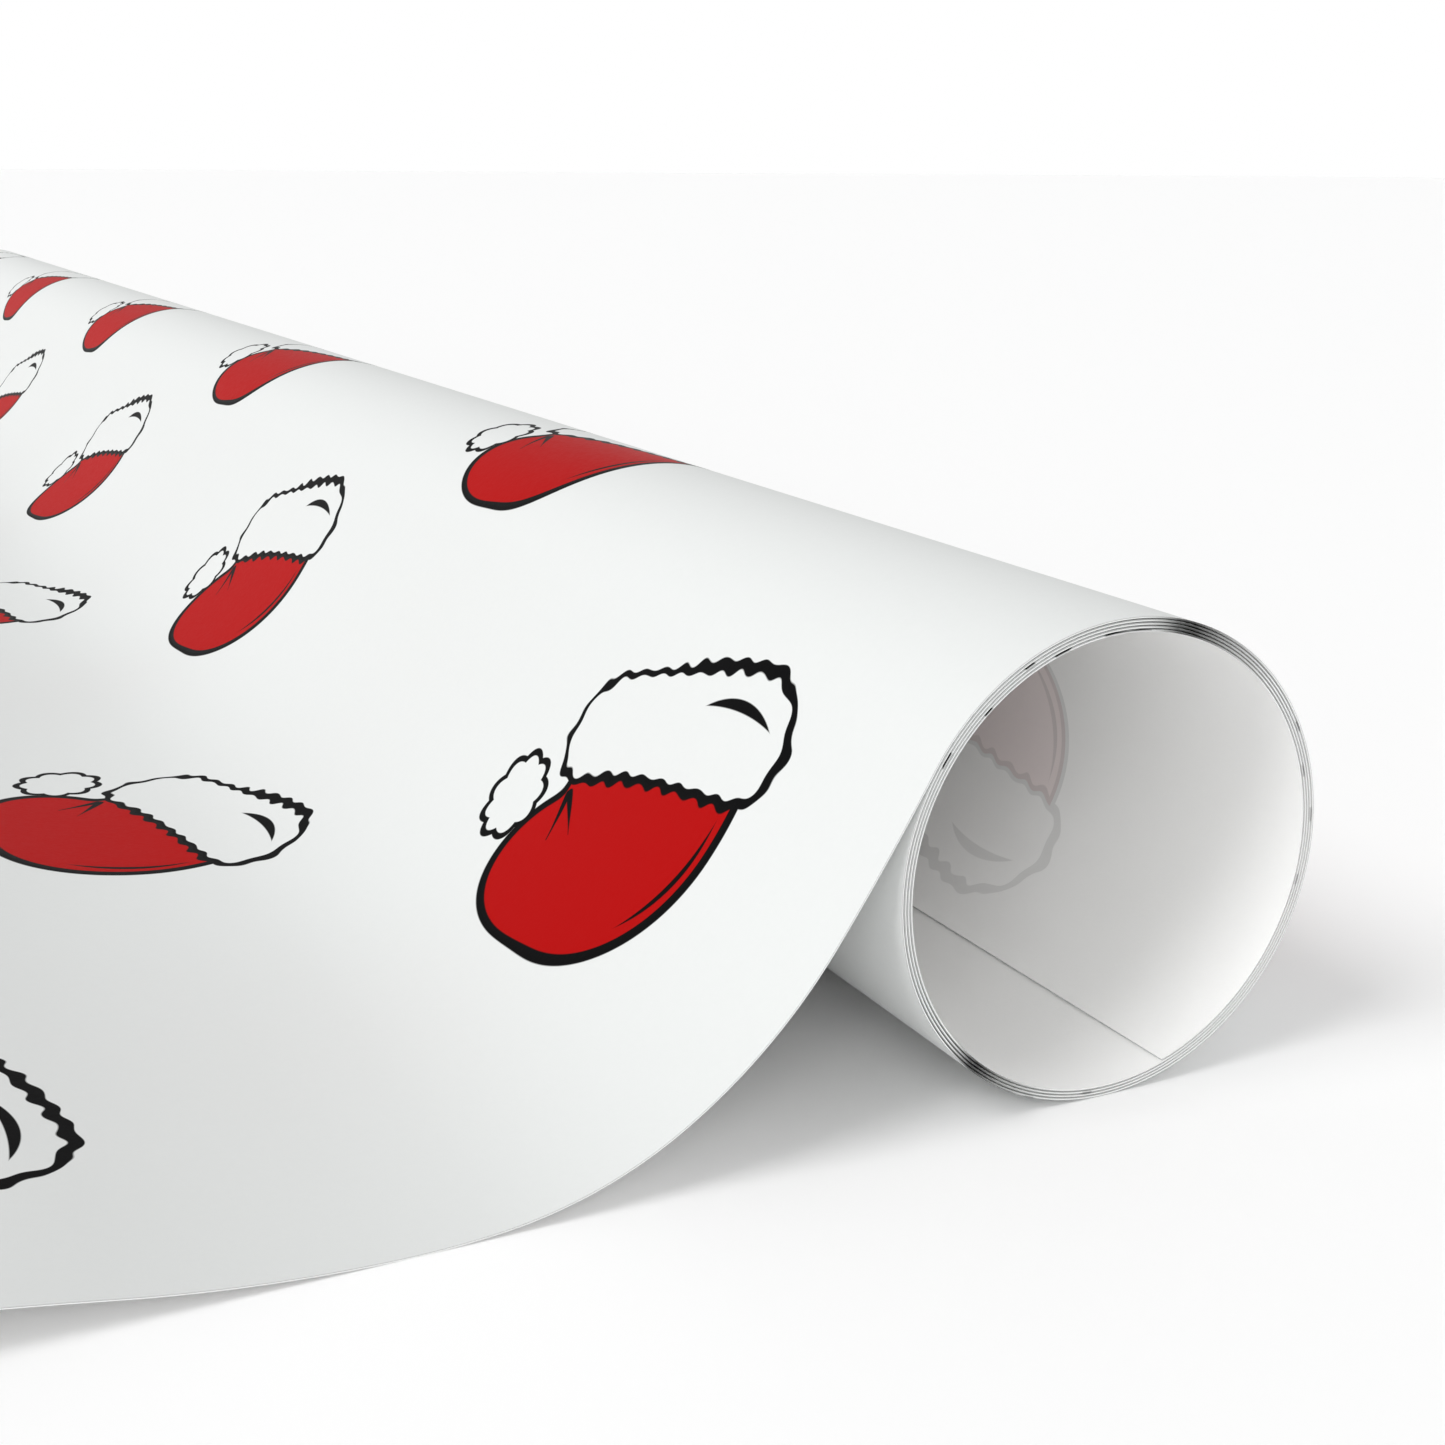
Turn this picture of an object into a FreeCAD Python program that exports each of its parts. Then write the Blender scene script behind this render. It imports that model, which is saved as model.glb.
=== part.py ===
import FreeCAD, Part
import math
import os

# Wrapping paper roll: one sheet of gift wrap rolled up with its printed side out.
# There is no core. The sheet makes about four and a half loose turns, then its
# outer end peels off the upper left of the coil, runs down to the table and lies
# there in a long low arch.
#
# Frame: the coil's axis is Y and the origin is on it, halfway along the roll.
# +Z is up, the loose end lies towards -X, and the section is the same all along Y.
# Angles are in degrees about the coil's axis, from +X towards +Z.
#
# The sheet is cut into stretches where it bends or slides on itself. Each stretch
# is one solid, a strip of paper as long as the roll and bent to one radius.

# Driving dimensions, in millimetres and degrees.
ROLL_LENGTH = 762.0      # along Y: the sheet's width, 30 inches
PAPER = 0.15             # thickness of the paper
INNER_RADIUS = 21.5      # of the innermost face, where the sheet begins
TURN_PITCH = 0.30        # growth of the radius in one turn: the paper and an air gap
TURNS_STARTED = 5        # the right half of the fifth turn is the outermost one
SHEET_START = -72.0      # the sheet's inner end, low on the right
LIP_END = 0.0            # the springy lip at the inner end is held from here on
TOP = 90.0               # each turn is split at its top and at its bottom
BOTTOM = -90.0
LEAVING = 150.0          # the loose end leaves the coil here, on the upper left
SLIT = 0.2               # gap between two stretches that move against each other
BOW = 0.03               # most that one arc of an outline stands off its chord

# The loose end from the coil to the foot of its arch: arc length and turn of each
# stretch. A negative turn bends the sheet away from the coil, hollow side up.
FIRST_TURN = -4.5
SWEEP = [(19.0, -22.0), (18.5, -28.5), (9.2, -6.7), (20.9, -8.8)]
ARCH_RADIUS = 474.1      # of the low arch that ends at the loose edge
ARCH_STRETCHES = 4

HALF_PITCH = TURN_PITCH / 2
CENTRE_SHIFT = TURN_PITCH / 4


def on_circle(centre, radius, angle):
    """The point at that angle on a circle in the X-Z plane."""
    a = math.radians(angle)
    return centre + FreeCAD.Vector(radius * math.cos(a), 0, radius * math.sin(a))


def arcs(centre, radius, start, end):
    """A curved edge as equal arcs, none of which bows more than BOW off its chord.

    BOW is a fifth of the paper's thickness, so that even straight chords between
    the arcs' ends still leave the thin sheet a clear inside.
    """
    widest = math.degrees(2 * math.acos(1 - BOW / radius))
    count = math.ceil(abs(end - start) / widest)
    half = (end - start) / count / 2
    middles = [start + (2 * i + 1) * half for i in range(count)]
    return [
        Part.Arc(*[on_circle(centre, radius, m + d) for d in (-half, 0, half)]).toShape()
        for m in middles
    ]


def strip(centre, back, face, start, end):
    """Paper bent round centre, with its plain back and printed face at those radii."""
    ends = [
        Part.LineSegment(on_circle(centre, back, a), on_circle(centre, face, a)).toShape()
        for a in (start, end)
    ]
    outline = arcs(centre, back, start, end) + arcs(centre, face, start, end) + ends
    section = Part.Face(Part.Wire(Part.__sortEdges__(outline)))
    section.translate(FreeCAD.Vector(0, -ROLL_LENGTH / 2, 0))
    return section.extrude(FreeCAD.Vector(0, ROLL_LENGTH, 0))


def slit_angle(radius):
    """The angle that half a slit takes on that radius."""
    return math.degrees(SLIT / 2 / radius)


# The coil is a spiral of half circles. Right halves are centred a little above the
# axis and left halves a little below it, so that they meet in line at the top and
# the bottom, and each is half a pitch larger than the one before.
RIGHT_CENTRE = FreeCAD.Vector(0, 0, CENTRE_SHIFT)
LEFT_CENTRE = FreeCAD.Vector(0, 0, -CENTRE_SHIFT)


def right_radius(turn):
    """Radius of the plain back of a turn's right half."""
    return INNER_RADIUS + (turn - 1) * TURN_PITCH


def left_radius(turn):
    """Radius of the plain back of a turn's left half."""
    return right_radius(turn) + HALF_PITCH


def coil_strip(centre, radius, start, end, slit_at_start, slit_at_end):
    """A stretch of the coil, cut back by half a slit at each end that moves."""
    cut = slit_angle(radius)
    return strip(
        centre,
        radius,
        radius + PAPER,
        start + cut * slit_at_start,
        end - cut * slit_at_end,
    )


def inner_end():
    """The lip that ends the sheet inside the coil, and the rest of its half turn."""
    radius = right_radius(1)
    return {
        "inner_lip": coil_strip(RIGHT_CENTRE, radius, SHEET_START, LIP_END, 0, 1),
        "turn_1_right": coil_strip(RIGHT_CENTRE, radius, LIP_END, TOP, 1, 1),
    }


def inner_turns():
    """The half turns that slide along the roll inside the outermost turn."""
    made = {}
    for turn in range(1, TURNS_STARTED):
        if turn > 1:
            made[f"turn_{turn}_right"] = coil_strip(
                RIGHT_CENTRE, right_radius(turn), BOTTOM, TOP, 1, 1
            )
        if turn < TURNS_STARTED - 1:
            made[f"turn_{turn}_left"] = coil_strip(
                LEFT_CENTRE, left_radius(turn), TOP, BOTTOM + 360, 1, 1
            )
    return made


def outer_turn():
    """The outermost turn, which stands on the table: its three stretches move as one."""
    last = TURNS_STARTED
    return {
        f"turn_{last - 1}_left": coil_strip(
            LEFT_CENTRE, left_radius(last - 1), TOP, BOTTOM + 360, 1, 0
        ),
        f"turn_{last}_right": coil_strip(
            RIGHT_CENTRE, right_radius(last), BOTTOM, TOP, 0, 0
        ),
        f"turn_{last}_left": coil_strip(
            LEFT_CENTRE, left_radius(last), TOP, LEAVING, 0, 1
        ),
    }


# The loose end is a chain of arcs that meet in line. heading is the direction in
# which the sheet runs, and the chain follows the sheet's plain back.
LEAVING_POINT = on_circle(LEFT_CENTRE, left_radius(TURNS_STARTED), LEAVING)
LEAVING_HEADING = LEAVING + 90
TABLE = CENTRE_SHIFT - right_radius(TURNS_STARTED) - PAPER


def rise(length, turn, heading):
    """How far an arc of that length and turn climbs along Z."""
    start = math.radians(heading)
    end = math.radians(heading + turn)
    return length / (end - start) * (math.cos(start) - math.cos(end))


def lowest_point(first_length):
    """Height of the sheet where it runs level along -X, over the point where it leaves."""
    height = rise(first_length, FIRST_TURN, LEAVING_HEADING)
    heading = LEAVING_HEADING + FIRST_TURN
    for length, turn in SWEEP:
        share = (180 - heading) / turn
        if share <= 1:
            return height + rise(length * share, turn * share, heading)
        height += rise(length, turn, heading)
        heading += turn


def first_length():
    """Length of the first stretch: the one that brings the sheet down onto the table."""
    drop_without = -lowest_point(0)
    drop_of_each = -rise(1, FIRST_TURN, LEAVING_HEADING)
    return (LEAVING_POINT.z - TABLE - drop_without) / drop_of_each


def loose_end():
    """The stretches of the loose end, as (length, turn) from the coil to the edge."""
    stretches = [(first_length(), FIRST_TURN)] + SWEEP
    heading = LEAVING_HEADING
    height = LEAVING_POINT.z - TABLE
    for length, turn in stretches:
        height += rise(length, turn, heading)
        heading += turn
    climb = math.radians(180 - heading)
    fall = math.acos(math.cos(climb) - height / ARCH_RADIUS)
    turn = math.degrees(climb + fall) / ARCH_STRETCHES
    length = ARCH_RADIUS * math.radians(turn)
    return stretches + [(length, turn)] * ARCH_STRETCHES


def flap():
    """The solids of the loose end, and the line that each one flexes about."""
    made = {}
    flex_lines = []
    point = LEAVING_POINT
    heading = LEAVING_HEADING
    stretches = loose_end()
    for number, (length, turn) in enumerate(stretches, start=1):
        side = math.copysign(1, turn)
        radius = length / abs(math.radians(turn))
        centre = on_circle(point, radius, heading + 90 * side)
        start = heading - 90 * side
        cut = slit_angle(radius) * side
        cut_at_end = 0 if number == len(stretches) else cut
        made[f"flap_{number}"] = strip(
            centre,
            radius,
            radius + side * PAPER,
            start + cut,
            start + turn - cut_at_end,
        )
        flex_lines.append(on_circle(point, PAPER / 2, heading - 90))
        point = on_circle(centre, radius, start + turn)
        heading += turn
    return made, flex_lines, point


os.makedirs("parts", exist_ok=True)
flap_strips, flex_lines, loose_edge = flap()
nodes = {**inner_end(), **inner_turns(), **outer_turn(), **flap_strips}
for name, shape in nodes.items():
    shape.exportStep(f"parts/{name}.step")


def middle_arc(radius, start, end):
    """Length of an arc along the middle of the paper's thickness."""
    return math.radians(end - start) * (radius + PAPER / 2)


coil_length = middle_arc(right_radius(1), SHEET_START, TOP)
for turn in range(1, TURNS_STARTED):
    coil_length += middle_arc(left_radius(turn), TOP, BOTTOM + 360)
    coil_length += middle_arc(right_radius(turn + 1), BOTTOM, TOP)
coil_length += middle_arc(left_radius(TURNS_STARTED), TOP, LEAVING)
flap_length = sum(length for length, turn in loose_end())
print("solids", len(nodes), "table", round(TABLE, 4))
print("coil", round(coil_length, 2), "loose end", round(flap_length, 2),
      "sheet", round(coil_length + flap_length, 2))
print("loose edge at", round(loose_edge.x, 3), round(loose_edge.z, 3))
for number, line in enumerate(flex_lines, start=1):
    print("flex line", number, round(line.x, 4), round(line.z, 4))
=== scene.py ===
import math

import bpy
import numpy as np
from mathutils import Matrix, Vector


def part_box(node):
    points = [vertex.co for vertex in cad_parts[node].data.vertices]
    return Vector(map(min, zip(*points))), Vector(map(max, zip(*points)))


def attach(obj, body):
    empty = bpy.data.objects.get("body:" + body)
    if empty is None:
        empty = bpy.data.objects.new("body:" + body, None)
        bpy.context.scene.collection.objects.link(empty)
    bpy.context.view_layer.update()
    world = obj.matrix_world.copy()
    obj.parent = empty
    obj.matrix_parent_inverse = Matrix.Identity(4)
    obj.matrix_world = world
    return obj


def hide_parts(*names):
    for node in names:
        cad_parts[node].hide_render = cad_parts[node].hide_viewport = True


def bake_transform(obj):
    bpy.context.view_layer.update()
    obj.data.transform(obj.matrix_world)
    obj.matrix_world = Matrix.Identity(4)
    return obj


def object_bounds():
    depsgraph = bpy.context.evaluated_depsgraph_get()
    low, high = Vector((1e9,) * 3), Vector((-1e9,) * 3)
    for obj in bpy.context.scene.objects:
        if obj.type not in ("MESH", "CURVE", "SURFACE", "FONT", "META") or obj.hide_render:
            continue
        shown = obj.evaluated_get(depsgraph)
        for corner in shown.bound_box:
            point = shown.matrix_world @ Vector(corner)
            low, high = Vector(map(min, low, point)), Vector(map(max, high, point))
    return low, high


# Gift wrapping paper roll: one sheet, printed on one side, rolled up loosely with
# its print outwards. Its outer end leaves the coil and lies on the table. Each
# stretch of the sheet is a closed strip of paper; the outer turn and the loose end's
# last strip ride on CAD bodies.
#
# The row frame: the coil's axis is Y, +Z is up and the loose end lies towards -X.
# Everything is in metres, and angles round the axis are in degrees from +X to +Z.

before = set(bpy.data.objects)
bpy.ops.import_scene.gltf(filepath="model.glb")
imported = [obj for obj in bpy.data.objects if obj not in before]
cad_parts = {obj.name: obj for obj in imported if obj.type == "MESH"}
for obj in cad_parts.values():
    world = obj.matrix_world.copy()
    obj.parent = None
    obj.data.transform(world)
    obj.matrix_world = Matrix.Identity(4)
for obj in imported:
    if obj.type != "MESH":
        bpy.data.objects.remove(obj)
cad_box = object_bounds()

# The sheet's own dimensions, as the CAD part has them.
PAPER = 0.00015
INNER_RADIUS = 0.0215
TURN_PITCH = 0.0003
TURNS_STARTED = 5
SHEET_START = -72.0
LEAVING = 150.0
FIRST_TURN = -4.5
SWEEP = [(0.0190, -22.0), (0.0185, -28.5), (0.0092, -6.7), (0.0209, -8.8)]
ARCH_RADIUS = 0.4741
ARCH_STRETCHES = 4

NEAR_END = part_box("turn_5_right")[0].y
FAR_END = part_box("turn_5_right")[1].y
TABLE = cad_box[0].z

# How finely the strips are made.
STEP_ALONG = 0.0010      # between sections along the sheet
STEP_ACROSS = 0.0127     # between rows along the roll


# ---------------------------------------------------------------- the sheet's path


def on_circle(centre, radius, angle):
    """The point (x, z) at that angle on a circle."""
    a = math.radians(angle)
    return np.array([centre[0] + radius * math.cos(a), centre[1] + radius * math.sin(a)])


class Bend:
    """A stretch of the sheet with one radius: its plain back is on that circle.

    side is 1 where the print is on the outside of the bend, and -1 where the sheet
    is hollow side up and the print is inside. s is the distance along the sheet from
    where the loose end leaves the coil, and it is negative within the coil.
    """

    def __init__(self, centre, radius, start, turn, side):
        self.centre = centre
        self.radius = radius
        self.start = start
        self.turn = turn
        self.side = side
        self.length = abs(math.radians(turn)) * (radius + side * PAPER / 2)
        self.s = 0.0

    def section(self, share):
        """Points on the back and on the print, at a share of the stretch."""
        angle = self.start + self.turn * share
        back = on_circle(self.centre, self.radius, angle)
        face = on_circle(self.centre, self.radius + self.side * PAPER, angle)
        return back, face, self.s + self.length * share


def coil_bends():
    """The coil from the sheet's inner end, in half turns: right and left by turns."""
    shift = TURN_PITCH / 4
    bends = []
    for half in range(2 * TURNS_STARTED):
        right = half % 2 == 0
        centre = (0.0, shift if right else -shift)
        radius = INNER_RADIUS + half * TURN_PITCH / 2
        start, end = (-90.0, 90.0) if right else (90.0, 270.0)
        if half == 0:
            start = SHEET_START
        if half == 2 * TURNS_STARTED - 1:
            end = LEAVING
        bends.append(Bend(centre, radius, start, end - start, 1))
    return bends


def flap_turns(leaving_height):
    """The loose end as (length, turn): down to the table, then a long low arch."""

    def rise(length, turn, heading):
        a, b = math.radians(heading), math.radians(heading + turn)
        return length / (b - a) * (math.cos(a) - math.cos(b))

    def height_after(stretches, heading, stop_level):
        height = 0.0
        for length, turn in stretches:
            share = (180 - heading) / turn
            if stop_level and 0 <= share <= 1:
                return height + rise(length * share, turn * share, heading), 180.0
            height += rise(length, turn, heading)
            heading += turn
        return height, heading

    heading = LEAVING + 90
    drop = -height_after(SWEEP, heading + FIRST_TURN, True)[0]
    first = (leaving_height - drop) / -rise(1.0, FIRST_TURN, heading)
    stretches = [(first, FIRST_TURN)] + SWEEP
    height, heading = height_after(stretches, heading, False)
    climb = math.radians(180 - heading)
    fall = math.acos(math.cos(climb) - (leaving_height + height) / ARCH_RADIUS)
    arch = (ARCH_RADIUS * (climb + fall) / ARCH_STRETCHES,
            math.degrees(climb + fall) / ARCH_STRETCHES)
    return stretches + [arch] * ARCH_STRETCHES


def flap_bends(last_of_coil):
    """The loose end as bends that meet in line, from where the coil ends."""
    point = on_circle(last_of_coil.centre, last_of_coil.radius, LEAVING)
    heading = LEAVING + 90
    bends = []
    for length, turn in flap_turns(point[1] - TABLE):
        side = 1 if turn > 0 else -1
        radius = length / abs(math.radians(turn))
        centre = on_circle(point, radius, heading + 90 * side)
        bends.append(Bend(centre, radius, heading - 90 * side, turn, side))
        point = on_circle(centre, radius, heading - 90 * side + turn)
        heading += turn
    return bends


def measure(coil_parts, flap_parts):
    """Give every bend its distance along the sheet."""
    s = -sum(bend.length for bend in coil_parts)
    for bend in coil_parts + flap_parts:
        bend.s = s
        s += bend.length


COIL = coil_bends()
FLAP = flap_bends(COIL[-1])
measure(COIL, FLAP)


# ------------------------------------------------------------------ paper strips


# The coil's cut edges carry painted dark reflections in two places. Round the axis,
# each one starts, is darkest from the second angle to the third, and ends.
DARK_REFLECTION_ARCS = ((42.0, 72.0, 77.0, 86.0), (219.0, 227.0, 231.0, 256.0))
DARK_REFLECTION_LEVELS = (0.0, 1.0, 1.0, 0.0)
DARK_REFLECTION_REACH = 0.024     # only the coil has them, not the loose end beyond it


def painted_dark_reflection(x, z):
    """How dark the painted dark reflection makes the cut edge at that point of the coil's end, from
    0 to 1.
    """
    if math.hypot(x, z) > DARK_REFLECTION_REACH:
        return 0.0
    angle = math.degrees(math.atan2(z, x)) % 360
    return max(float(np.interp(angle, angles, DARK_REFLECTION_LEVELS)) for angles in DARK_REFLECTION_ARCS)


def sections_along(parts):
    """Cross sections of the sheet along (bend, from, to) parts, in shares of a bend."""
    sections = []
    for bend, low, high in parts:
        count = max(2, math.ceil(bend.length * (high - low) / STEP_ALONG))
        shares = np.linspace(low, high, count + 1)
        sections += [bend.section(x) for x in (shares if not sections else shares[1:])]
    return sections


PRINT, BACK, EDGE = 0, 1, 2      # the material slots of a strip


def strip_faces(along, across):
    """The faces of a strip as corner numbers, and the material slot of each face.

    Its corners are numbered row by row across the sheet, from section to section,
    first on the plain back and then on the print.
    """

    def corner(through, i, j):
        return (through * along + i) * across + j

    quads, slots = [], []

    def add(quad, slot):
        quads.append(quad)
        slots.append(slot)

    for i in range(along - 1):
        for j in range(across - 1):
            back = [corner(0, *place) for place in ((i, j), (i + 1, j), (i + 1, j + 1), (i, j + 1))]
            add(back, BACK)
            add([p + along * across for p in reversed(back)], PRINT)
        for j, order in ((0, 1), (across - 1, -1)):
            edge = [corner(0, i, j), corner(1, i, j), corner(1, i + 1, j), corner(0, i + 1, j)]
            add(edge[::order], EDGE)
    for j in range(across - 1):
        for i, order in ((0, 1), (along - 1, -1)):
            edge = [corner(0, i, j), corner(0, i, j + 1), corner(1, i, j + 1), corner(1, i, j)]
            add(edge[::order], EDGE)
    return quads, slots


SHARP = math.radians(40)         # edges that turn further than this stay crisp


def strip(name, parts, materials):
    """A closed strip of paper along (bend, from, to) parts, in shares of each bend.

    Each corner holds its place on the flat sheet (along it, across it, and through
    it) and how dark the painted dark reflection on its cut edge is there.
    """
    sections = sections_along(parts)
    rows = np.linspace(NEAR_END, FAR_END, math.ceil((FAR_END - NEAR_END) / STEP_ACROSS) + 1)
    points, places, reflection_marks = [], [], []
    for through in (0, 1):
        for section in sections:
            x, z = section[through]
            reflection_mark = painted_dark_reflection(x, z)
            for y in rows:
                points.append((x, y, z))
                places.append((section[2], y - NEAR_END, through))
                reflection_marks.append(reflection_mark)
    quads, slots = strip_faces(len(sections), len(rows))

    mesh = bpy.data.meshes.new(name)
    mesh.from_pydata(points, [], quads)
    place = mesh.attributes.new("sheet", "FLOAT_VECTOR", "POINT")
    place.data.foreach_set("vector", np.array(places, np.float32).ravel())
    # Painted dark reflections on the cut edges, kept for each corner.
    dark_reflection_attribute = mesh.attributes.new("painted_dark_reflection", "FLOAT", "POINT")
    dark_reflection_attribute.data.foreach_set("value", reflection_marks)
    for material in materials:
        mesh.materials.append(material)
    mesh.polygons.foreach_set("material_index", slots)
    mesh.polygons.foreach_set("use_smooth", [True] * len(quads))
    mesh.set_sharp_from_angle(angle=SHARP)
    mesh.update()
    piece = bpy.data.objects.new(name, mesh)
    bpy.context.scene.collection.objects.link(piece)
    length = sections[-1][2] - sections[0][2]
    return piece


# ------------------------------------------------- formulas written as shader nodes


class Value:
    """A number in a material's node tree, so that a pattern reads as a formula."""

    def __init__(self, tree, socket):
        self.tree = tree
        self.socket = socket

    def do(self, operation, *others):
        node = self.tree.nodes.new("ShaderNodeMath")
        node.operation = operation
        for socket, value in zip(node.inputs, (self, *others)):
            if isinstance(value, Value):
                self.tree.links.new(value.socket, socket)
            else:
                socket.default_value = value
        return Value(self.tree, node.outputs[0])

    def __add__(self, other):
        return self.do("ADD", other)

    def __sub__(self, other):
        return self.do("SUBTRACT", other)

    def __mul__(self, other):
        return self.do("MULTIPLY", other)

    def __truediv__(self, other):
        return self.do("DIVIDE", other)

    def least(self, other):
        return self.do("MINIMUM", other)

    def most(self, other):
        return self.do("MAXIMUM", other)

    def limited(self):
        return self.do("MAXIMUM", 0.0).do("MINIMUM", 1.0)

    def opposite(self):
        return self * -1.0 + 1.0


def away(u, v):
    """Distance from the origin."""
    return (u * u + v * v).do("SQRT")


# --------------------------------------------------------------- the winter hats

# The print repeats on a slanted lattice. Places are in millimetres on the flat
# sheet: along it from where the loose end leaves the coil, and across it from the
# near edge.
HAT_PLACE = (17.5, 44.0)
HAT_STEPS = ((2.7, 148.4), (44.0, 73.1))
HAT_TILT = -7.8          # in degrees
SOFT = 0.12              # width over which ink fades out

# The print seen through the inner wall is out of step with the loose end's, so the
# pattern drifts in the hidden turns: by DRIFT in all, between these two places.
DRIFT = (39.7, 3.0)
DRIFT_STARTS = -150.0
DRIFT_ENDS = -550.0

# The hat, in millimetres to the right of its middle and above it. A bar is its two
# ends and the radius at each. An oval is its centre and its half sizes. A crescent
# is its two tips, how far it bulges and how thick it is.
BRIM = ((-12.0, -8.1), (16.2, -11.0), 6.2, 7.1)
BRIM_BENDS_FROM = 2.0    # the brim bends up on both sides of here,
BRIM_BEND = 0.004        # by this times the square of the distance
FUR = (1.7, 1.5)         # waves of the brim's edge, as radians in a millimetre
FUR_SHIFT = 0.6
FUR_DEPTH = 0.25
CURLS = (2.4, 1.1)       # finer waves on the same edge
CURLS_DEPTH = 0.05
POMPOM = (-22.6, 3.0)
POMPOM_RADIUS = 4.8
LOBES = 9                # of the pompom's fluff
LOBE_DEPTH = 0.8
POMPOM_UNEVEN = 0.25
DOME = ((3.0, -4.0), 16.3, 22.2)
DOME_FOOT = -8.0         # the dome ends here, under the brim
BAG = ((-3.6, 8.4), 14.4, 9.8)
BODY_EASE = 2.4          # rounds the corner between the dome and the bag
FOLDS = (((-12.0, 0.6), (-7.4, 5.0), 0.5, 0.05), ((-12.2, 0.8), (-10.8, 6.4), 0.5, 0.1))
BODY_CREASE = ((11.2, 12.0), (17.4, -1.5), 1.7, 0.8)
BRIM_CREASE = ((19.4, -11.2), (6.2, -12.4), 2.0, 1.3)
LINE = 0.42              # half the width of an outline at LINE_FROM
LINE_FROM = -22.0
LINE_GROWS = 0.006       # in each millimetre to the right
POMPOM_LINE = 0.48       # half the width of the pompom's outline


def hat_coordinates(along, across):
    """Millimetres from the middle of the nearest hat: to its right, and up."""
    share = ((along - DRIFT_STARTS) / (DRIFT_ENDS - DRIFT_STARTS)).limited()
    along, across = along + share * DRIFT[0], across + share * DRIFT[1]
    (a1, c1), (a2, c2) = HAT_STEPS
    area = a1 * c2 - a2 * c1
    da, dc = along - HAT_PLACE[0], across - HAT_PLACE[1]
    n1 = (da * c2 - dc * a2) / area
    n2 = (dc * a1 - da * c1) / area
    f1, f2 = n1 - n1.do("ROUND"), n2 - n2.do("ROUND")
    da, dc = f1 * a1 + f2 * a2, f1 * c1 + f2 * c2
    cos, sin = math.cos(math.radians(HAT_TILT)), math.sin(math.radians(HAT_TILT))
    right, up = dc * -1.0, da
    return right * cos + up * sin, up * cos - right * sin


def disc(u, v, centre, radius):
    """How far a point is outside a disc."""
    return away(u - centre[0], v - centre[1]) - radius


def oval(u, v, centre, width, height):
    """Roughly how far a point is outside an oval with those half sizes."""
    across, up = (u - centre[0]) / width, (v - centre[1]) / height
    return (away(across, up) - 1.0) * min(width, height)


def taper(u, v, start, end, start_radius, end_radius):
    """How far a point is outside a rounded bar that tapers from start to end."""
    du, dv = end[0] - start[0], end[1] - start[1]
    pu, pv = u - start[0], v - start[1]
    share = ((pu * du + pv * dv) / (du * du + dv * dv)).limited()
    gap = away(pu - share * du, pv - share * dv)
    eased = share * share * (share * -2.0 + 3.0)
    return gap - (eased * (end_radius - start_radius) + start_radius)


def crescent(u, v, start, end, bulge, thick):
    """How far a point is outside a crescent that bulges to the left of start to end."""
    du, dv = end[0] - start[0], end[1] - start[1]
    chord = math.hypot(du, dv)
    discs = []
    for height in (bulge, bulge - thick):
        radius = chord * chord / (8 * height) + height / 2
        back = (radius - height) / chord
        centre = (start[0] + du / 2 + dv * back, start[1] + dv / 2 - du * back)
        discs.append(disc(u, v, centre, radius))
    return discs[0].most(discs[1] * -1.0)


def within(distance):
    """1 inside a shape, 0 outside it."""
    return (distance / -SOFT + 0.5).limited()


def hat_brim(u, v):
    """How far a point is outside the fur brim: a bent bar with a wavy edge."""
    waves = (u * FUR[0] + FUR_SHIFT).do("SINE") + (v * FUR[1]).do("SINE")
    curls = (u * CURLS[0] + v * CURLS[1]).do("SINE")
    off = u - BRIM_BENDS_FROM
    return taper(u, v - off * off * BRIM_BEND, *BRIM) + waves * FUR_DEPTH + curls * CURLS_DEPTH


def hat_pompom(u, v):
    """How far a point is outside the pompom: a disc with lobes of fluff round it."""
    pu, pv = u - POMPOM[0], v - POMPOM[1]
    around = pv.do("ARCTAN2", pu)
    lobes = (around * (LOBES / 2)).do("SINE").do("ABSOLUTE") * LOBE_DEPTH
    fluff = lobes + (around * 2.0).do("SINE") * POMPOM_UNEVEN
    return away(pu, pv) - POMPOM_RADIUS - fluff


def hat_body(u, v):
    """How far a point is outside the body: a dome, and the bag that flops off it."""
    dome = oval(u, v, *DOME).most(v * -1.0 + DOME_FOOT)
    return dome.do("SMOOTH_MIN", oval(u, v, *BAG), BODY_EASE)


def hat_ink(along, across):
    """How red and how black the print is at a place on the sheet."""
    u, v = hat_coordinates(along, across)
    brim, pompom, body = hat_brim(u, v), hat_pompom(u, v), hat_body(u, v)
    folds = taper(u, v, *FOLDS[0]).least(taper(u, v, *FOLDS[1]))
    folds = folds.least(crescent(u, v, *BODY_CREASE))

    line = (u - LINE_FROM) * LINE_GROWS + LINE
    body_line = body.do("ABSOLUTE") - line
    brim_line = brim.do("ABSOLUTE") - line
    pompom_line = pompom.do("ABSOLUTE") - POMPOM_LINE

    bare = within(brim).opposite() * within(pompom).opposite()
    red = within(body) * bare
    black = within(body_line.least(folds)) * bare
    black = black.most(within(brim_line.most(pompom * -1.0))).most(within(pompom_line))
    black = black.most(within(crescent(u, v, *BRIM_CREASE)))
    return red, black


# --------------------------------------------------------------------- materials


def shade(red, green, blue):
    """A screen colour from 0 to 255 as the linear colour that shaders take."""
    parts = [c / 255 for c in (red, green, blue)]
    return [c / 12.92 if c < 0.04045 else ((c + 0.055) / 1.055) ** 2.4 for c in parts] + [1.0]


# Each paper colour drifts from the first shade to the second with the fibres.
WHITE_PAPER = (shade(221, 223, 222), shade(217, 219, 218))
PLAIN_BACK = (shade(250, 250, 249), shade(247, 247, 246))
CUT_PAPER = (shade(230, 231, 230), shade(218, 220, 219))
RED_INK = shade(170, 10, 10)
BLACK_INK = shade(8, 8, 9)
TABLE_WHITE = shade(253, 253, 253)

# How much of each ink is seen through the paper from its back.
RED_SHOWS = 0.20
BLACK_SHOWS = 0.17
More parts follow.
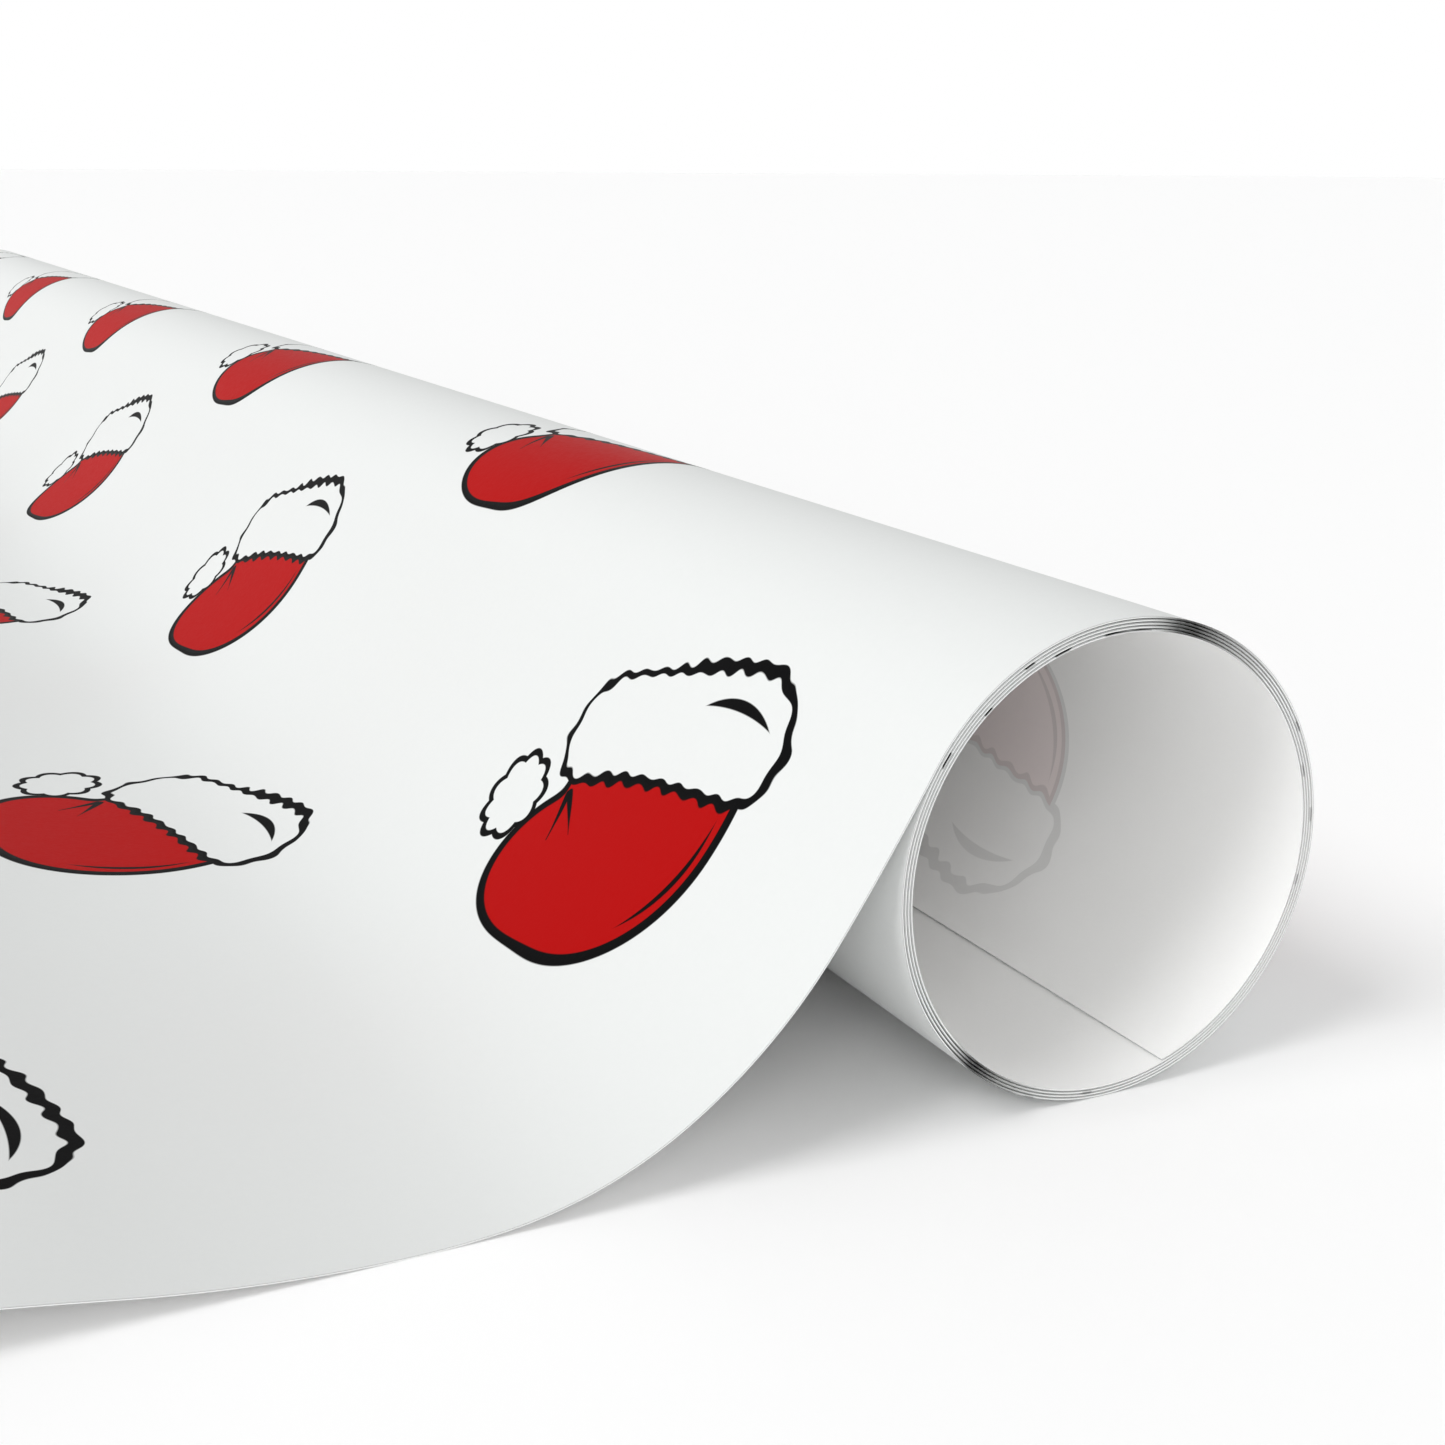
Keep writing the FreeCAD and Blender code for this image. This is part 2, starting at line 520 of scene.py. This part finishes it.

# How much ink the blade drags over the cut edge: a stain where it went through a
# hat. A painted shade line on the printed side of the paper's thickness, everywhere,
# stands in for the shade in the gaps between the layers.
STAIN = 0.9
GAP_SHADE_LINE = 0.5
GAP_SHADE_FROM = 0.6       # as a share of the thickness, from the back
GAP_SHADE_FADES = 0.15


def new_material(name):
    material = bpy.data.materials.new(name)
    material.use_nodes = True
    tree = material.node_tree
    return material, tree, tree.nodes["Principled BSDF"]


def link(tree, source, target):
    tree.links.new(source.socket if isinstance(source, Value) else source, target)


def sheet_place(tree):
    """Millimetres along and across the flat sheet, and 0 to 1 from back to print."""
    place = tree.nodes.new("ShaderNodeAttribute")
    place.attribute_name = "sheet"
    parts = tree.nodes.new("ShaderNodeSeparateXYZ")
    link(tree, place.outputs["Vector"], parts.inputs[0])
    along, across, through = [Value(tree, output) for output in parts.outputs]
    return along * 1000.0, across * 1000.0, through


def mixed(tree, share, first, second):
    """The colour first at share 0 and second at share 1."""
    node = tree.nodes.new("ShaderNodeMix")
    node.data_type = "RGBA"
    for socket, value in zip([node.inputs[i] for i in (0, 6, 7)], (share, first, second)):
        if isinstance(value, list):
            socket.default_value = value
        else:
            link(tree, value, socket)
    return node.outputs[2]


def noise(tree, scale, detail, places):
    """Cloudy values from 0 to 1 on the flat sheet, scale of them to a millimetre."""
    along, across, through = places
    vector = tree.nodes.new("ShaderNodeCombineXYZ")
    link(tree, along, vector.inputs[0])
    link(tree, across, vector.inputs[1])
    link(tree, through, vector.inputs[2])
    cloud = tree.nodes.new("ShaderNodeTexNoise")
    cloud.inputs["Scale"].default_value = scale
    cloud.inputs["Detail"].default_value = detail
    link(tree, vector.outputs[0], cloud.inputs["Vector"])
    return Value(tree, cloud.outputs["Fac"])


def paper_fibres(tree, places):
    """Soft speckle of the paper, from 0 to 1."""
    return noise(tree, 1.4, 5.0, places)


def grain(tree, shader, places, depth):
    """The fine tooth of paper: fibres about half a millimetre long, and soft cockle."""
    height = noise(tree, 2.2, 4.0, places) + noise(tree, 0.06, 2.0, places) * 3.0
    bump = tree.nodes.new("ShaderNodeBump")
    bump.inputs["Distance"].default_value = depth
    bump.inputs["Strength"].default_value = 1.0
    link(tree, height, bump.inputs["Height"])
    link(tree, bump.outputs[0], shader.inputs["Normal"])


def print_material():
    """The printed face: satin white paper with red and black ink."""
    material, tree, shader = new_material("gift_wrap_print")
    places = sheet_place(tree)
    red, black = hat_ink(*places[:2])
    fibres = paper_fibres(tree, places)
    paper = mixed(tree, fibres * 0.5, *WHITE_PAPER)
    inked = mixed(tree, red, paper, RED_INK)
    link(tree, mixed(tree, black, inked, BLACK_INK), shader.inputs["Base Color"])
    link(tree, fibres * 0.12 + 0.44 - (red + black) * 0.06, shader.inputs["Roughness"])
    shader.inputs["Specular IOR Level"].default_value = 0.02
    grain(tree, shader, places, depth=0.000012)
    return material


def back_material():
    """The plain back: matt, with the print showing through the paper a little."""
    material, tree, shader = new_material("gift_wrap_back")
    places = sheet_place(tree)
    red, black = hat_ink(*places[:2])
    fibres = paper_fibres(tree, places)
    paper = mixed(tree, fibres * 0.5, *PLAIN_BACK)
    tinted = mixed(tree, red * RED_SHOWS, paper, RED_INK)
    link(tree, mixed(tree, black * BLACK_SHOWS, tinted, BLACK_INK), shader.inputs["Base Color"])
    link(tree, fibres * 0.15 + 0.62, shader.inputs["Roughness"])
    shader.inputs["Specular IOR Level"].default_value = 0.2
    grain(tree, shader, places, depth=0.000016)
    return material


def edge_material():
    """The cut edge: white fibres, with ink stains, a painted shade line and painted dark
    reflections on them.
    """
    material, tree, shader = new_material("gift_wrap_cut_edge")
    places = sheet_place(tree)
    red, black = hat_ink(*places[:2])
    stain = places[2] * STAIN
    dark_reflection_attribute = tree.nodes.new("ShaderNodeAttribute")
    dark_reflection_attribute.attribute_name = "painted_dark_reflection"
    fibres = noise(tree, 5.0, 3.0, places)
    paper = mixed(tree, fibres, *CUT_PAPER)
    tinted = mixed(tree, red * stain, paper, RED_INK)
    # Painted dark reflections on the cut edge at two places round the coil's end.
    dark_reflection = Value(tree, dark_reflection_attribute.outputs["Fac"]) * (fibres * 0.3 + 0.75)
    # Painted shade: a dark line on the printed side of every cut edge, standing in for the shade in
    # the gaps between the layers.
    gap_shade = ((places[2] - GAP_SHADE_FROM) / GAP_SHADE_FADES).limited() * GAP_SHADE_LINE
    ink_and_painted_shade = (black * stain).most(gap_shade).most(dark_reflection.limited())
    link(tree, mixed(tree, ink_and_painted_shade, tinted, BLACK_INK), shader.inputs["Base Color"])
    link(tree, fibres * 0.2 + 0.7, shader.inputs["Roughness"])
    shader.inputs["Specular IOR Level"].default_value = 0.1
    grain(tree, shader, places, depth=0.000005)
    return material


# In the order of the material slots.
PAPER_SIDES = (print_material(), back_material(), edge_material())


# --------------------------------------------------------------------- the sheet


def at(bend, share):
    """The middle of the paper's thickness there, as a point in the row frame."""
    back, face, _ = bend.section(share)
    x, z = (back + face) / 2
    return (x, 0.0, z)


def flexing_strip(name, parts, node, first_body, second_body):
    """A strip fixed where it lies, which hides the CAD part it stands for."""
    piece = strip(name, parts, PAPER_SIDES)
    start = at(parts[0][0], parts[0][1])
    end = at(parts[-1][0], parts[-1][2])
    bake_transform(piece)
    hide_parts(node)


def riding_strip(name, parts, body, *nodes):
    """A strip that moves with one body."""
    piece = strip(name, parts, PAPER_SIDES)
    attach(piece, body)
    if nodes:
        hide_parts(*nodes)


LIP_SHARE = -SHEET_START / (90.0 - SHEET_START)
LIP_BEND = 0.6           # share of the lip; the lip is not flexed


def inner_lip():
    """The springy end of the sheet inside the coil."""
    parts = [(COIL[0], 0.0, LIP_SHARE)]
    piece = strip("lip", parts, PAPER_SIDES)
    start = at(COIL[0], LIP_SHARE)
    end = at(COIL[0], LIP_SHARE * (1 - LIP_BEND))
    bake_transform(piece)
    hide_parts("inner_lip")


def coil():
    """The turns inside the outermost one: a strip over the top, then one below."""
    for turn in range(1, TURNS_STARTED):
        right, left = COIL[2 * turn - 2], COIL[2 * turn - 1]
        low = LIP_SHARE if turn == 1 else 0.5
        right_body, next_body = f"turn_{turn}_right", f"turn_{turn + 1}_right"
        left_body = f"turn_{turn}_left" if turn < TURNS_STARTED - 1 else "outer_turn"
        parts = [(right, low, 1.0), (left, 0.0, 0.5)]
        flexing_strip(f"coil_{turn}_top", parts, right_body, right_body, left_body)
        if turn < TURNS_STARTED - 1:
            parts = [(left, 0.5, 1.0), (COIL[2 * turn], 0.0, 0.5)]
            flexing_strip(f"coil_{turn}_bottom", parts, left_body, left_body, next_body)


def outer_turn():
    """The outermost turn, which stands on the table."""
    left, right, leaving = COIL[-3:]
    parts = [(left, 0.5, 1.0), (right, 0.0, 1.0), (leaving, 0.0, 1.0)]
    last = TURNS_STARTED
    nodes = (f"turn_{last - 1}_left", f"turn_{last}_right", f"turn_{last}_left")
    riding_strip("outer_wrap", parts, "outer_turn", *nodes)


FIRST_END = 0.65         # share of its stretch at which the loose end's first strip ends


def loose_end():
    """The loose end: each strip but the last is fixed where it lies, and the last rides on the last
    flap body.

    The first strip's stretch is short, and half of it would be too short for a
    strip, so it ends further along than the others do.
    """
    ends = [FIRST_END] + [0.5] * (len(FLAP) - 1)
    flexing_strip("loose_end_1", [(FLAP[0], 0.0, ends[0])], "flap_1", "outer_turn", "flap_1")
    for number in range(1, len(FLAP)):
        parts = [(FLAP[number - 1], ends[number - 1], 1.0), (FLAP[number], 0.0, ends[number])]
        bodies = (f"flap_{number}", f"flap_{number + 1}")
        flexing_strip(f"loose_end_{number + 1}", parts, f"flap_{number + 1}", *bodies)
    last = len(FLAP)
    riding_strip(f"loose_end_{last + 1}", [(FLAP[-1], ends[-1], 1.0)], f"flap_{last}")


inner_lip()
coil()
outer_turn()
loose_end()


# ------------------------------------------------------- floor, light and camera


def plain_material(name, colour, roughness):
    """A material of one colour."""
    material, _, shader = new_material(name)
    shader.inputs["Base Color"].default_value = colour
    shader.inputs["Roughness"].default_value = roughness
    shader.inputs["Specular IOR Level"].default_value = 0.2
    return material


def flat_panel(name, corners, material):
    """A flat part of the studio, which isn't part of the object."""
    mesh = bpy.data.meshes.new(name)
    mesh.from_pydata(corners, [], [(0, 1, 2, 3)])
    mesh.materials.append(material)
    panel = bpy.data.objects.new(name, mesh)
    bpy.context.scene.collection.objects.link(panel)


FLOOR_REACH = 12.0
FLOOR_GAP = 0.00002      # keeps the floor clear of the paper that lies on it


def floor():
    """A pale table that reaches far beyond the view."""
    z = TABLE - FLOOR_GAP
    r = FLOOR_REACH
    corners = [(-r, -r, z), (r, -r, z), (r, r, z), (-r, r, z)]
    flat_panel("table_top", corners, plain_material("table_white", TABLE_WHITE, 0.6))


def soft_sun(name, travel, strength, softness):
    """A distant light. travel is the way it shines, softness how wide it looks."""
    data = bpy.data.lights.new(name, "SUN")
    data.energy = strength
    data.angle = math.radians(softness)
    light = bpy.data.objects.new(name, data)
    light.rotation_mode = "QUATERNION"
    light.rotation_quaternion = Vector(travel).to_track_quat("-Z", "Y")
    bpy.context.scene.collection.objects.link(light)


SKY_AT_HORIZON = 1.0
SKY_OVERHEAD = 0.57
SKY_FADES = (0.10, 0.40)  # from the horizon's brightness to the overhead one, as sines


def lights():
    """A white cove that is brightest low down, a key from the upper left, a front fill."""
    world = bpy.data.worlds.new("studio")
    world.use_nodes = True
    tree = world.node_tree
    direction = tree.nodes.new("ShaderNodeTexCoord").outputs["Generated"]
    parts = tree.nodes.new("ShaderNodeSeparateXYZ")
    link(tree, direction, parts.inputs[0])
    low, high = SKY_FADES
    share = ((Value(tree, parts.outputs[2]) - low) / (high - low)).limited()
    strength = share * (SKY_OVERHEAD - SKY_AT_HORIZON) + SKY_AT_HORIZON
    sky = tree.nodes["Background"]
    sky.inputs["Color"].default_value = (1, 1, 1, 1)
    link(tree, strength, sky.inputs["Strength"])
    bpy.context.scene.world = world
    soft_sun("key", travel=(0.68, 0.08, -0.72), strength=1.42, softness=30.0)
    soft_sun("front_fill", travel=(0.40, 0.88, -0.27), strength=1.1, softness=50.0)


LENS = 50.0              # in millimetres, on a sensor of 36
CAMERA_PLACE = (-5.0406, -6.3795, 2.8367)    # from the open end, in inner radii
PAN = 26.498             # right of looking straight along the roll, in degrees
TILT = 15.650            # downwards
ROLL = 0.515


def camera():
    """The view from in front of the open end, above it and to its left."""
    data = bpy.data.cameras.new("camera")
    data.lens = LENS
    data.sensor_width = 36.0
    data.clip_start = 0.01
    data.clip_end = 100.0
    pan, tilt, roll = math.radians(PAN), math.radians(TILT), math.radians(ROLL)
    ahead = math.cos(tilt)
    forward = Vector((math.sin(pan) * ahead, math.cos(pan) * ahead, -math.sin(tilt)))
    level = Vector((math.cos(pan), -math.sin(pan), 0.0))
    upright = level.cross(forward)
    right = level * math.cos(roll) + upright * math.sin(roll)
    up = upright * math.cos(roll) - level * math.sin(roll)
    place = Vector((0.0, NEAR_END, 0.0)) + Vector(CAMERA_PLACE) * INNER_RADIUS
    turned = Matrix((right, up, -forward)).transposed().to_4x4()
    seen_from = bpy.data.objects.new("camera", data)
    seen_from.matrix_world = Matrix.Translation(place) @ turned
    bpy.context.scene.collection.objects.link(seen_from)
    bpy.context.scene.camera = seen_from


floor()
lights()
camera()
bpy.context.scene.view_settings.view_transform = "Standard"
